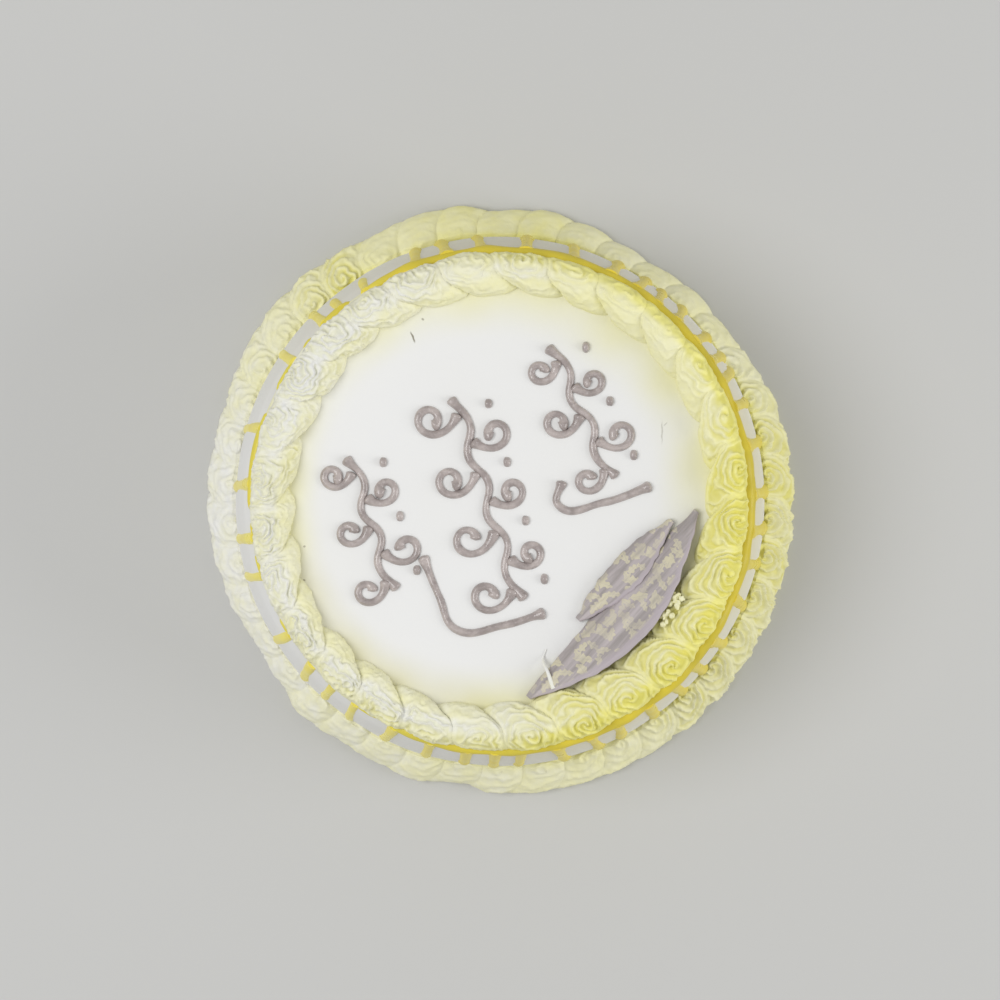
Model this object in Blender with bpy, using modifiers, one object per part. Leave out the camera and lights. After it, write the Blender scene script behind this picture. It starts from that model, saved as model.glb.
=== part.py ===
# Round fresh-cream cake: a solid cream-covered body, a ring of piped swirls round the top edge,
# a ring of piped rosettes round the foot and two chocolate shards leaning on the top border.
# Metres, +Z up. The cake stands on z = 0 with its outline centred on the origin.

import math
import random

import bmesh
import bpy
from mathutils import Vector

# Driving dimensions
GAP = 0.0003  # left between pieces that touch
BODY_HEIGHT = 0.068
FOOT_RADIUS = 0.1055  # wall of the cake at its foot
WALL_LEAN = 0.0088  # how far the wall leans in between its foot and its top edge
LEAN_POWER = 2.0  # the wall is nearly upright below and leans in towards the top
EDGE_ROUNDING = 0.0025
BODY_STEPS = 64

SWIRL_COUNT = 28
SWIRL_HEIGHT = 0.0112
SWIRL_OUTER_RADIUS = 0.0966
SWIRL_SPOKES = 12
SWIRL_SQUARENESS = 2.7  # 2 is an ellipse, more fills the corners of a swirl's sector
SWIRL_TWIST = math.radians(50)  # how far the ridges wind round from edge to eye
SWIRL_SEED = 7

ROSETTE_COUNT = 42
ROSETTE_STEPS = 4  # sections in each rosette
ROSETTE_HEIGHT = 0.0195
ROSETTE_PINCH = 0.0030  # how far the outline and the crest draw in between two rosettes

SHARD_THICKNESS = 0.002
SHARD_STATIONS = 9
SHARD_COLUMNS = 5

# Inner reach of the top swirls by heading, in degrees anticlockwise from +X and millimetres of
# radius: the swirls are fullest in the quarter below +X and slimmest in the quarter above it.
SWIRL_REACH = (
    (0, 80.6), (30, 82.0), (75, 81.5), (110, 79.6), (150, 79.0), (185, 80.2), (215, 82.0),
    (250, 80.6), (275, 77.6), (292, 75.6), (317, 73.6), (332, 76.0), (345, 78.8),
)

# Outer reach of the foot border, in the same terms: pressed flat in places, fuller in others.
BORDER_REACH = (
    (0, 117.3), (20, 117.3), (36, 113.6), (50, 115.0), (56, 112.8), (72, 114.6), (79, 119.0),
    (86, 114.8), (98, 119.3), (108, 119.3), (117, 117.8), (132, 120.0), (145, 120.0), (157, 117.0),
    (180, 117.4), (197, 116.0), (213, 112.6), (228, 117.0), (240, 114.6), (250, 117.0),
    (262, 113.8), (272, 117.4), (300, 117.6), (340, 117.5),
)

# Rings of a swirl from its foot to its eye: share of the outline, share of the height.
# The dome's ridges are the rings that stand above the ones on either side.
SWIRL_RINGS = (
    (0.94, 0.0), (1.0, 0.34), (0.90, 0.66), (0.76, 0.74), (0.64, 0.95), (0.49, 0.80),
    (0.36, 1.0), (0.20, 0.84),
)
SWIRL_PEAK = 0.98
SWIRL_EYE = (-0.12, 0.36)  # across and outwards, in shares of the half-size

# Section of the foot border, as shares of its depth from the wall and of its height, from the
# foot outside, over the crest, to the wall. Every second point is a ridge.
BORDER_SECTION = (
    (1.0, 0.0), (1.02, 0.26), (0.84, 0.42), (0.80, 0.66), (0.56, 0.74), (0.44, 0.98), (0.16, 0.88),
)
WALL_SECTION = (0.78, 0.0)  # shares of the height of the border's back, against the wall


def smooth_between(table, heading):
    """Value at a heading from a table of (degrees, value), eased from entry to entry."""
    heading = heading % 360
    last = table[-1]
    start = (last[0] - 360, last[1])
    for end in table + ((table[0][0] + 360, table[0][1]),):
        if heading <= end[0]:
            share = (heading - start[0]) / (end[0] - start[0])
            share = share * share * (3 - 2 * share)
            return start[1] + (end[1] - start[1]) * share
        start = end
    return start[1]


def wall_radius(z):
    return FOOT_RADIUS - WALL_LEAN * (max(z, 0.0) / BODY_HEIGHT) ** LEAN_POWER


def polar(radius, angle, z):
    return Vector((radius * math.cos(angle), radius * math.sin(angle), z))


def clear_scene():
    for obj in list(bpy.data.objects):
        bpy.data.objects.remove(obj, do_unlink=True)


def make_material(name, color, roughness):
    material = bpy.data.materials.new(name)
    material.use_nodes = True
    shader = material.node_tree.nodes["Principled BSDF"]
    shader.inputs["Base Color"].default_value = (*color, 1.0)
    shader.inputs["Roughness"].default_value = roughness
    shader.inputs["Metallic"].default_value = 0.0
    return material


def add_object(name, mesh, material, collection, parent):
    mesh.materials.append(material)
    obj = bpy.data.objects.new(name, mesh)
    collection.objects.link(obj)
    obj.parent = parent
    return obj


def mesh_from_bmesh(name, bm):
    bmesh.ops.recalc_face_normals(bm, faces=bm.faces)
    mesh = bpy.data.meshes.new(name)
    bm.to_mesh(mesh)
    bm.free()
    mesh.shade_smooth()
    mesh.set_sharp_from_angle(angle=math.radians(50))
    return mesh


def bridge(bm, lower, upper):
    """Quads between two loops of equal length."""
    count = len(lower)
    for j in range(count):
        k = (j + 1) % count
        bm.faces.new((lower[j], lower[k], upper[k], upper[j]))


def body_profile():
    """Outer half of the cake's section, from the middle of the top down to the middle of the base."""
    points = [(0.0, BODY_HEIGHT)]
    rounding_top = wall_radius(BODY_HEIGHT) - EDGE_ROUNDING
    for step in range(4):
        turn = math.radians(90 - 30 * step)
        points.append((
            rounding_top + EDGE_ROUNDING * math.cos(turn),
            BODY_HEIGHT - EDGE_ROUNDING + EDGE_ROUNDING * math.sin(turn),
        ))
    for z in (0.056, 0.044, 0.030, 0.015, 0.0):
        points.append((wall_radius(z), z))
    points.append((0.0, 0.0))
    return points


def add_body(material, collection, parent):
    mesh = bpy.data.meshes.new("cake_body")
    points = body_profile()
    edges = [(i, i + 1) for i in range(len(points) - 1)]
    mesh.from_pydata([(x, 0.0, z) for x, z in points], edges, [])
    body = add_object("cake_body", mesh, material, collection, parent)
    screw = body.modifiers.new("Screw", "SCREW")
    screw.axis = "Z"
    screw.angle = math.tau
    screw.steps = BODY_STEPS
    screw.render_steps = BODY_STEPS
    screw.use_merge_vertices = True
    screw.merge_threshold = 0.0001
    screw.use_smooth_shade = True
    return body


def squircle(turn, power):
    """Point of a rounded square of half-size 1, at an angle round it."""
    c, s = math.cos(turn), math.sin(turn)
    return (
        math.copysign(abs(c) ** (2 / power), c),
        math.copysign(abs(s) ** (2 / power), s),
    )


def swirl_mesh(name, heading, width, inner, outer, height):
    """One piped swirl filling its sector: ridged rings that draw in from the outline to the eye."""
    bm = bmesh.new()
    middle = (inner + outer) / 2
    half_length = (outer - inner) / 2
    foot = BODY_HEIGHT + GAP
    loops = []
    for share, rise in SWIRL_RINGS:
        loop = []
        for spoke in range(SWIRL_SPOKES):
            turn = math.tau * spoke / SWIRL_SPOKES + SWIRL_TWIST * (1 - share)
            across, out = squircle(turn, 2 + (SWIRL_SQUARENESS - 2) * share)
            across = across * share + SWIRL_EYE[0] * (1 - share)
            out = out * share + SWIRL_EYE[1] * (1 - share)
            radius = middle + half_length * out
            swing = across * (width / 2 - GAP / (2 * radius))
            loop.append(bm.verts.new(polar(radius, heading + swing, foot + height * rise)))
        loops.append(loop)
    for lower, upper in zip(loops, loops[1:]):
        bridge(bm, lower, upper)
    bm.faces.new(loops[0])
    eye = polar(
        middle + half_length * SWIRL_EYE[1],
        heading + SWIRL_EYE[0] * width / 2,
        foot + height * SWIRL_PEAK,
    )
    eye_vert = bm.verts.new(eye)
    last = loops[-1]
    for j in range(SWIRL_SPOKES):
        bm.faces.new((last[j], last[(j + 1) % SWIRL_SPOKES], eye_vert))
    return mesh_from_bmesh(name, bm)


def add_top_swirls(material, collection, parent):
    rng = random.Random(SWIRL_SEED)
    width = math.tau / SWIRL_COUNT
    for index in range(SWIRL_COUNT):
        heading = width * (index + 0.5)
        inner = smooth_between(SWIRL_REACH, math.degrees(heading)) / 1000
        name = f"cream_swirl_{index + 1:02d}"
        mesh = swirl_mesh(
            name,
            heading,
            width,
            inner + rng.uniform(-0.0006, 0.0006),
            SWIRL_OUTER_RADIUS + rng.uniform(-0.0005, 0.0005),
            SWIRL_HEIGHT * rng.uniform(0.93, 1.0),
        )
        add_object(name, mesh, material, collection, parent)


def add_foot_border(material, collection, parent):
    """One joined ring of rosettes: a loft of sections that swell and pinch round the foot."""
    bm = bmesh.new()
    sections = ROSETTE_COUNT * ROSETTE_STEPS
    loops = []
    for index in range(sections):
        angle = math.tau * index / sections
        phase = math.tau * (index % ROSETTE_STEPS) / ROSETTE_STEPS
        pinch = ROSETTE_PINCH * (0.5 + 0.5 * math.cos(phase))
        outer = smooth_between(BORDER_REACH, math.degrees(angle)) / 1000 - pinch * 0.7
        height = ROSETTE_HEIGHT - pinch
        loop = []
        for depth, rise in BORDER_SECTION:
            z = height * rise
            wall = wall_radius(z) + GAP
            loop.append(bm.verts.new(polar(wall + (outer - wall) * depth, angle, z)))
        for rise in WALL_SECTION:
            z = height * rise
            loop.append(bm.verts.new(polar(wall_radius(z) + GAP, angle, z)))
        loops.append(loop)
    for index, loop in enumerate(loops):
        bridge(bm, loop, loops[(index + 1) % sections])
    add_object("foot_border", mesh_from_bmesh("foot_border", bm), material, collection, parent)


def add_shard(name, start, end, width, bow, rise, arch, material, collection, parent):
    """A leaf-shaped shard: pointed at both ends, lying on the top along its inner edge and raised
    along its outer edge. start and end are its tips on the cake, and bow moves its middle line
    outwards between them."""
    along = end - start
    length = along.length
    bm = bmesh.new()
    grid = []
    for station in range(SHARD_STATIONS):
        share = station / (SHARD_STATIONS - 1)
        belly = max(math.sin(math.pi * share) ** 0.8, 0.06)
        row = []
        for column in range(SHARD_COLUMNS):
            across = column / (SHARD_COLUMNS - 1)
            lift = belly * (rise * across + arch * math.sin(math.pi * across))
            side = bow * math.sin(math.pi * share) + width * belly * (0.5 - across)
            row.append(bm.verts.new((length * share, side, lift)))
        grid.append(row)
    for near, far in zip(grid, grid[1:]):
        for j in range(SHARD_COLUMNS - 1):
            bm.faces.new((near[j], near[j + 1], far[j + 1], far[j]))
    mesh = mesh_from_bmesh(name, bm)
    for face in mesh.polygons:
        if face.normal.z < 0:
            face.flip()
    shard = add_object(name, mesh, material, collection, parent)
    shard.location = (start.x, start.y, BODY_HEIGHT + GAP)
    shard.rotation_euler = (0.0, 0.0, math.atan2(along.y, along.x))
    wall = shard.modifiers.new("Solidify", "SOLIDIFY")
    wall.thickness = SHARD_THICKNESS
    wall.offset = 1.0
    return shard


def add_shards(material, collection, parent):
    # The large shard leans on the border; the slim one stands before it, nearer the middle.
    add_shard(
        "chocolate_shard_large", Vector((0.0116, -0.0758)), Vector((0.0762, -0.0046)),
        width=0.0160, bow=-0.0066, rise=0.0080, arch=0.0022,
        material=material, collection=collection, parent=parent,
    )
    add_shard(
        "chocolate_shard_slim", Vector((0.0309, -0.0459)), Vector((0.0665, -0.0082)),
        width=0.0078, bow=0.0008, rise=0.0058, arch=0.0008,
        material=material, collection=collection, parent=parent,
    )


def centre_outline(collection, root):
    """Moves the whole cake so that its bounding box is centred on the origin."""
    bpy.context.view_layer.update()
    graph = bpy.context.evaluated_depsgraph_get()
    points = []
    for obj in collection.objects:
        if obj.type != "MESH":
            continue
        evaluated = obj.evaluated_get(graph)
        points += [evaluated.matrix_world @ Vector(corner) for corner in evaluated.bound_box]
    for axis in (0, 1):
        low = min(point[axis] for point in points)
        high = max(point[axis] for point in points)
        root.location[axis] = -(low + high) / 2


def main():
    clear_scene()
    collection = bpy.data.collections.new("celebration_cake")
    bpy.context.scene.collection.children.link(collection)
    root = bpy.data.objects.new("cake_root", None)
    collection.objects.link(root)
    white = make_material("white_cream", (0.80, 0.80, 0.78), 0.55)
    yellow = make_material("yellow_cream", (0.80, 0.77, 0.42), 0.55)
    chocolate = make_material("chocolate", (0.34, 0.29, 0.27), 0.45)
    add_body(white, collection, root)
    add_top_swirls(yellow, collection, root)
    add_foot_border(yellow, collection, root)
    add_shards(chocolate, collection, root)
    centre_outline(collection, root)


main()
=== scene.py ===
import math
import random

import bmesh
import bpy
from mathutils import Euler, Matrix, Vector, noise


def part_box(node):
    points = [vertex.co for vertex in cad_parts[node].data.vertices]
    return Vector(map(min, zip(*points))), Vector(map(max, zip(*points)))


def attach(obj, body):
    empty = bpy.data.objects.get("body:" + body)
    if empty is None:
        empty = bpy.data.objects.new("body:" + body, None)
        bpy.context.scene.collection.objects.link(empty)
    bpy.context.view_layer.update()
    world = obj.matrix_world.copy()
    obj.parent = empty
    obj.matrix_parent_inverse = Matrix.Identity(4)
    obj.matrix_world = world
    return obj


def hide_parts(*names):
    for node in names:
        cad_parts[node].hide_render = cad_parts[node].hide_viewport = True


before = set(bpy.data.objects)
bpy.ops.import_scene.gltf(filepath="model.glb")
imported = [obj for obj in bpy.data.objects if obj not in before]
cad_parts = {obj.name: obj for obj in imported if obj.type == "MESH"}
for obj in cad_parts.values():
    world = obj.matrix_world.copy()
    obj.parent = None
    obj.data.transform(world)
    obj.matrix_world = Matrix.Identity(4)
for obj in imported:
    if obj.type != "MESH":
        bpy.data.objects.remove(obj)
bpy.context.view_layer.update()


# measures read from the frame

bodyLow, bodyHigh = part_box("cake_body")
cakeCentre = Vector(((bodyLow.x + bodyHigh.x) / 2, (bodyLow.y + bodyHigh.y) / 2, 0.0))
cakeTop = bodyHigh.z
footRadius = (bodyHigh.x - bodyLow.x) / 2
swirlNodes = sorted(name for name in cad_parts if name.startswith("cream_swirl"))


def polarOf(point):
    x, y = point.x - cakeCentre.x, point.y - cakeCentre.y
    return math.hypot(x, y), math.atan2(y, x) % math.tau


def onCake(radius, heading, z):
    return Vector((cakeCentre.x + radius * math.cos(heading), cakeCentre.y + radius * math.sin(heading), z))


def wallProfile():
    # (height, radius) down the wall, from the body's own corners
    rows = {}
    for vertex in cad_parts["cake_body"].data.vertices:
        radius, _ = polarOf(vertex.co)
        level = round(vertex.co.z, 4)
        rows[level] = max(rows.get(level, 0.0), radius)
    return sorted(rows.items())


wallRows = wallProfile()


def wallRadius(z):
    for (lowZ, lowR), (highZ, highR) in zip(wallRows, wallRows[1:]):
        if z <= highZ:
            share = max(0.0, (z - lowZ) / (highZ - lowZ))
            return lowR + (highR - lowR) * share
    return wallRows[-1][1]


def easedTable(table, heading):
    # value at a heading in radians from (degrees, value) rows, eased from row to row
    degrees = math.degrees(heading) % 360
    start = (table[-1][0] - 360, table[-1][1])
    for end in table + ((table[0][0] + 360, table[0][1]),):
        if degrees <= end[0]:
            share = (degrees - start[0]) / (end[0] - start[0])
            share = share * share * (3 - 2 * share)
            return start[1] + (end[1] - start[1]) * share
        start = end
    return start[1]


def reachTable(names, count, pick):
    # outermost or innermost radius of the named nodes in each of count equal sectors
    found = [None] * count
    for name in names:
        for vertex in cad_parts[name].data.vertices:
            radius, heading = polarOf(vertex.co)
            sector = int(heading / math.tau * count) % count
            found[sector] = radius if found[sector] is None else pick(found[sector], radius)
    return found


def ringValue(values, turn):
    # smooth value round a ring of equal sectors, turn counted in whole rings
    place = turn * len(values) - 0.5
    low = math.floor(place)
    share = place - low
    share = share * share * (3 - 2 * share)
    return values[low % len(values)] * (1 - share) + values[(low + 1) % len(values)] * share


def smoothStep(low, high, value):
    share = min(1.0, max(0.0, (value - low) / (high - low)))
    return share * share * (3 - 2 * share)


# node trees written as Python expressions

class Wire:
    # a socket that takes part in arithmetic; each operation adds its Math node
    def __init__(self, tree, socket):
        self.tree = tree
        self.socket = socket

    def run(self, operation, *others, clamp=False):
        values = dict(enumerate((self, *others)))
        node = self.tree.add("ShaderNodeMath", {"operation": operation, "use_clamp": clamp}, values)
        return Wire(self.tree, node.outputs[0])

    def __add__(self, other):
        return self.run("ADD", other)

    __radd__ = __add__

    def __mul__(self, other):
        return self.run("MULTIPLY", other)

    __rmul__ = __mul__

    def __sub__(self, other):
        return self.run("SUBTRACT", other)

    def __rsub__(self, other):
        node = self.tree.add("ShaderNodeMath", {"operation": "SUBTRACT"}, {0: other, 1: self})
        return Wire(self.tree, node.outputs[0])

    def __truediv__(self, other):
        return self.run("DIVIDE", other)

    def __pow__(self, other):
        return self.run("POWER", other)

    def __abs__(self):
        return self.run("ABSOLUTE")

    def step(self, low, high):
        # 0 below low, 1 above high, eased between
        node = self.tree.add(
            "ShaderNodeMapRange", {"interpolation_type": "SMOOTHSTEP"},
            {"Value": self, "From Min": low, "From Max": high},
        )
        return Wire(self.tree, node.outputs["Result"])


class Tree:
    def __init__(self, nodeTree):
        self.nodeTree = nodeTree

    def add(self, kind, settings=None, sockets=None):
        node = self.nodeTree.nodes.new(kind)
        for name, value in (settings or {}).items():
            setattr(node, name, value)
        for name, value in (sockets or {}).items():
            if isinstance(value, Wire):
                self.nodeTree.links.new(value.socket, node.inputs[name])
            else:
                node.inputs[name].default_value = value
        return node

    def wire(self, kind, settings=None, sockets=None, output=0):
        return Wire(self, self.add(kind, settings, sockets).outputs[output])

    def vector(self, operation, *values, output=0):
        return self.wire("ShaderNodeVectorMath", {"operation": operation}, dict(enumerate(values)), output)


class Finish(Tree):
    # one material: a Principled shader and the nodes that vary it
    def __init__(self, name, uniform):
        self.material = bpy.data.materials.new(name)
        self.material.use_nodes = True
        super().__init__(self.material.node_tree)
        self.shader = self.nodeTree.nodes["Principled BSDF"]
        for socket, value in uniform.items():
            self.shader.inputs[socket].default_value = value
        self.place = self.wire("ShaderNodeTexCoord", output="Object")

    def feed(self, socket, wire):
        self.nodeTree.links.new(wire.socket, self.shader.inputs[socket])

    def attribute(self, name):
        return self.wire("ShaderNodeAttribute", {"attribute_name": name}, output="Fac")

    def noise(self, scale, detail=2.0, rough=0.5, place=None):
        sockets = {"Vector": place or self.place, "Scale": scale, "Detail": detail, "Roughness": rough}
        return self.wire("ShaderNodeTexNoise", None, sockets, "Fac")

    def mix(self, factor, first, second):
        sockets = {0: factor, 6: first, 7: second}
        return self.wire("ShaderNodeMix", {"data_type": "RGBA"}, sockets, 2)

    def bump(self, height, strength, distance, normal=None):
        sockets = {"Height": height, "Strength": strength, "Distance": distance}
        if normal:
            sockets["Normal"] = normal
        return self.wire("ShaderNodeBump", None, sockets, "Normal")


def rgb(red, green, blue):
    # a colour given in screen values 0 to 255, as the shader's linear values
    def linear(value):
        share = value / 255
        return share / 12.92 if share <= 0.04045 else ((share + 0.055) / 1.055) ** 2.4
    return (linear(red), linear(green), linear(blue), 1.0)


# finishes

creamLook = {
    "white": rgb(232, 232, 231),
    "paleYellow": rgb(236, 233, 188),
    "strongYellow": rgb(236, 230, 138),
    # groove colours: the cream's yellow, darkened as painted shade in the grooves
    "grooveShadeYellow": rgb(218, 210, 92),
    "grooveShadeWhite": rgb(230, 230, 208),
    "grain": 900.0,
    "roughness": 0.46,
}


def pipedCreamFinish():
    look = Finish("pipedCream", {
        "Specular IOR Level": 0.35,
    })
    tint = look.attribute("tint")
    groove = look.attribute("groove")
    patches = look.noise(160.0, 3.0)
    shade = (tint + (patches - 0.5) * 0.45).run("ADD", 0.0, clamp=True)
    crest = look.mix(shade.step(0.0, 0.55), creamLook["white"], creamLook["paleYellow"])
    crest = look.mix(shade.step(0.45, 1.0), crest, creamLook["strongYellow"])
    # valleys take yellower, darker colours: the yellow is partly the cream's own, the darkening is painted shade in the
    # grooves
    valley = look.mix(shade.step(0.05, 0.85), creamLook["grooveShadeWhite"], creamLook["grooveShadeYellow"])
    depth = groove.step(0.45, 1.0) * 0.7
    look.feed("Base Color", look.mix(depth, crest, valley))
    look.feed("Roughness", creamLook["roughness"] + (patches - 0.5) * 0.25)
    fine = look.noise(creamLook["grain"], 4.0, 0.6)
    look.feed("Normal", look.bump(fine, 0.25, 0.0004))
    return look.material


# flaws in the coat: radius, heading, lean from the radius, half length, half width, strength
flaws = (
    # the first row is a hairline crack, its dark line painted shade; then specks and scratches
    (0.0718, 118, -6, 0.0026, 0.00045, 0.85),
    (0.0764, 113, 30, 0.0007, 0.0005, 0.6),
    (0.0818, 202, 0, 0.0008, 0.0006, 0.7),
    (0.0776, 193, 0, 0.0006, 0.0005, 0.55),
    (0.0680, 23, 67, 0.0052, 0.00035, 0.35),
    (0.0705, 25, 20, 0.0012, 0.00030, 0.30),
)


def coatFinish():
    look = Finish("spreadCream", {"Specular IOR Level": 0.35})
    blush = look.attribute("blush")
    wall = look.attribute("wallTint")
    cloud = look.noise(55.0, 3.0)
    amount = (blush * (0.75 + cloud * 0.5)).run("ADD", 0.0, clamp=True)
    # the blush turns yellow, and beige where that attribute is high: the beige is partly the cream's own, partly
    # painted shade beside the border
    yellowAndShade = look.mix(look.attribute("beige"), rgb(228, 223, 132), rgb(208, 203, 160))
    # faint darker patches at random: painted shade of spatula marks
    color = look.mix(look.noise(14.0, 2.0).step(0.35, 0.7) * 0.25, creamLook["white"], rgb(226, 225, 219))
    color = look.mix(amount, color, yellowAndShade)
    color = look.mix(wall, color, rgb(214, 204, 150))
    axes = look.add("ShaderNodeSeparateXYZ", None, {0: look.place})
    x, y = Wire(look, axes.outputs[0]), Wire(look, axes.outputs[1])
    for radius, degrees, lean, length, width, strength in flaws:
        # a hairline crack, dark as painted shade in its groove, a scratch or a speck, long one way and thin the other
        heading, way = math.radians(degrees), math.radians(degrees + lean)
        middle = onCake(radius, heading, 0.0)
        shake = (look.noise(500.0, 2.0) - 0.5) * (0.0010 if length > 0.002 else 0.0)
        u = (x - middle.x) * math.cos(way) + (y - middle.y) * math.sin(way)
        v = (y - middle.y) * math.cos(way) - (x - middle.x) * math.sin(way) + shake
        far = ((u / length) ** 2.0 + (v / width) ** 2.0) ** 0.5
        color = look.mix((1.0 - far.step(0.5, 1.1)) * strength, color, rgb(120, 112, 92))
    look.feed("Base Color", color)
    look.feed("Roughness", 0.42 + cloud * 0.14)
    fine = look.noise(700.0, 4.0, 0.6)
    broad = look.noise(90.0, 2.0)
    soft = look.bump(broad, 0.15, 0.0015)
    look.feed("Normal", look.bump(fine, 0.12, 0.0003, soft))
    return look.material


def yellowGelFinish():
    # tint: 0 to 0.45 on drips, from the thin side to the thick, and 0.6 to 1 on the line above them, whose darker
    # colours are painted shadow of the border over it
    look = Finish("yellowGel", {"Specular IOR Level": 0.15, "Coat Weight": 0.08, "Coat Roughness": 0.15})
    cloud = look.noise(70.0, 2.0)
    side = look.attribute("tint")
    color = look.mix(side.step(0.0, 0.45), rgb(248, 234, 112), rgb(226, 206, 76))
    # the line under the border is darker than the drips: painted shadow of the border
    color = look.mix(side.step(0.5, 0.6), color, look.mix(side.step(0.6, 1.0), rgb(222, 210, 92), rgb(206, 188, 66)))
    look.feed("Base Color", look.mix(cloud.step(0.35, 0.75) * 0.45, color, rgb(234, 212, 70)))
    look.feed("Roughness", 0.22 + cloud * 0.15)
    look.feed("Normal", look.bump(look.noise(260.0, 2.0), 0.08, 0.0005))
    return look.material


def brownGelFinish():
    look = Finish("brownGel", {"Specular IOR Level": 0.5, "Coat Weight": 0.9, "Coat Roughness": 0.07})
    cloud = look.noise(220.0, 3.0)
    look.feed("Base Color", look.mix(cloud.step(0.3, 0.7), rgb(154, 143, 140), rgb(186, 175, 171)))
    look.feed("Roughness", 0.24 + cloud * 0.2)
    look.feed("Normal", look.bump(look.noise(420.0, 3.0), 0.9, 0.0013))
    return look.material


def chocolateFinish():
    # taupe chocolate with streaks along it and a pale transfer of leaves
    look = Finish("chocolateTransfer", {"Specular IOR Level": 0.4})
    place = look.wire("ShaderNodeAttribute", {"attribute_name": "leafPlace"}, output="Vector")

    def cell(scale, spread):
        node = look.add(
            "ShaderNodeTexVoronoi", {"voronoi_dimensions": "2D"},
            {"Vector": place, "Scale": scale, "Randomness": spread},
        )
        offset = look.vector("SUBTRACT", place, Wire(look, node.outputs["Position"]))
        axes = look.add("ShaderNodeSeparateXYZ", None, {0: offset})
        chance = look.add("ShaderNodeSeparateColor", None, {0: Wire(look, node.outputs["Color"])})
        return [Wire(look, axes.outputs[k]) for k in (0, 1)] + [Wire(look, chance.outputs[k]) for k in (0, 1)]

    def leaf(scale, length, width):
        # a lobed leaf with a bare rib, turned its own way in each cell
        x, y, angle, other = cell(scale, 0.8)
        swing = (angle - 0.5) * 3.0
        cosine, sine = swing.run("COSINE"), swing.run("SINE")
        u = x * cosine + y * sine
        v = y * cosine - x * sine
        lobes = (u * (math.tau * 1.6 / length)).run("COSINE") * 0.22 + 0.78
        frill = (look.noise(620.0, 4.0, 0.65, place) - 0.5) * 0.0026
        inside = (1.0 - (u / length) ** 2.0) * width * lobes - abs(v) + frill
        rib = 1.0 - abs(v).step(0.00004, 0.00020)
        return inside.step(-0.00010, 0.00018) * (1.0 - rib * 0.35), other

    streaks = look.noise(26.0, 5.0, 0.65, look.vector("MULTIPLY", place, (1.0, 14.0, 1.0)))
    cloud = look.noise(110.0, 3.0, place=place)
    first, chance = leaf(190.0, 0.0031, 0.0016)
    second, _ = leaf(125.0, 0.0040, 0.0022)
    band = look.attribute("band")
    leaves = (first * chance.step(0.2, 0.3) * 0.85).run("MAXIMUM", second * 0.9) * (1.0 - band)
    worn = (cloud * 0.6 + streaks * 0.4).step(0.38, 0.60)
    taupe = look.mix(streaks.step(0.35, 0.7), rgb(154, 147, 145), rgb(190, 181, 182))
    taupe = look.mix(band * 0.7, taupe, rgb(184, 174, 180))
    look.feed("Base Color", look.mix(leaves * (0.30 + worn * 0.60), taupe, rgb(214, 207, 176)))
    look.feed("Roughness", 0.48 - leaves * 0.06 + cloud * 0.1)
    look.feed("Normal", look.bump(streaks + leaves * 0.2 + cloud * 0.8, 0.5, 0.0008))
    return look.material


# the strand tree: a round nozzle drawn along a path

def strandTree():
    tree = bpy.data.node_groups.new("pipedStrand", "GeometryNodeTree")
    sides = (
        ("Path", "INPUT", "NodeSocketGeometry"), ("Points Around", "INPUT", "NodeSocketInt"),
        ("Squash", "INPUT", "NodeSocketFloat"), ("Lumps", "INPUT", "NodeSocketFloat"),
        ("Lump Scale", "INPUT", "NodeSocketFloat"), ("Material", "INPUT", "NodeSocketMaterial"),
        ("Strand", "OUTPUT", "NodeSocketGeometry"),
    )
    for name, way, kind in sides:
        tree.interface.new_socket(name=name, in_out=way, socket_type=kind)
    work = Tree(tree)
    given = work.add("NodeGroupInput")

    def entry(name):
        return Wire(work, given.outputs[name])

    def named(name, kind="FLOAT"):
        return work.wire("GeometryNodeInputNamedAttribute", {"data_type": kind}, {"Name": name})

    position = work.wire("GeometryNodeInputPosition")
    path = work.wire("GeometryNodeMeshToCurve", None, {"Mesh": entry("Path")})
    path = work.wire(
        "GeometryNodeStoreNamedAttribute", {"data_type": "FLOAT_VECTOR", "domain": "POINT"},
        {"Geometry": path, "Name": "centre", "Value": position},
    )
    path = work.wire("GeometryNodeSetCurveNormal", {"mode": "Z_UP"}, {"Curve": path})
    nozzle = work.wire(
        "GeometryNodeCurvePrimitiveCircle", {"mode": "RADIUS"}, {"Resolution": entry("Points Around"), "Radius": 1.0},
    )
    strand = work.wire(
        "GeometryNodeCurveToMesh", None,
        {"Curve": path, "Profile Curve": nozzle, "Scale": named("width"), "Fill Caps": True},
    )
    centre = named("centre", "FLOAT_VECTOR")
    lump = work.wire(
        "ShaderNodeTexNoise", None, {"Vector": position, "Scale": entry("Lump Scale"), "Detail": 2.0}, "Fac",
    )
    arm = work.vector("SUBTRACT", position, centre)
    size = 1.0 + (lump - 0.5) * entry("Lumps")
    arm = work.wire("ShaderNodeVectorMath", {"operation": "SCALE"}, {0: arm, "Scale": size})
    flat = work.wire("ShaderNodeCombineXYZ", None, {"X": 1.0, "Y": 1.0, "Z": entry("Squash")})
    arm = work.vector("MULTIPLY", arm, flat)
    strand = work.wire(
        "GeometryNodeSetPosition", None,
        {"Geometry": strand, "Position": work.vector("ADD", centre, arm)},
    )
    strand = work.wire("GeometryNodeSetShadeSmooth", None, {"Geometry": strand})
    strand = work.wire("GeometryNodeRealizeInstances", None, {"Geometry": strand})
    strand = work.wire("GeometryNodeSetMaterial", None, {"Geometry": strand, "Material": entry("Material")})
    work.add("NodeGroupOutput", None, {"Strand": strand})
    return tree


strands = strandTree()


def setInputs(modifier, values):
    for item in modifier.node_group.interface.items_tree:
        if item.item_type == "SOCKET" and item.in_out == "INPUT" and item.name in values:
            modifier[item.identifier] = values[item.name]


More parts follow.
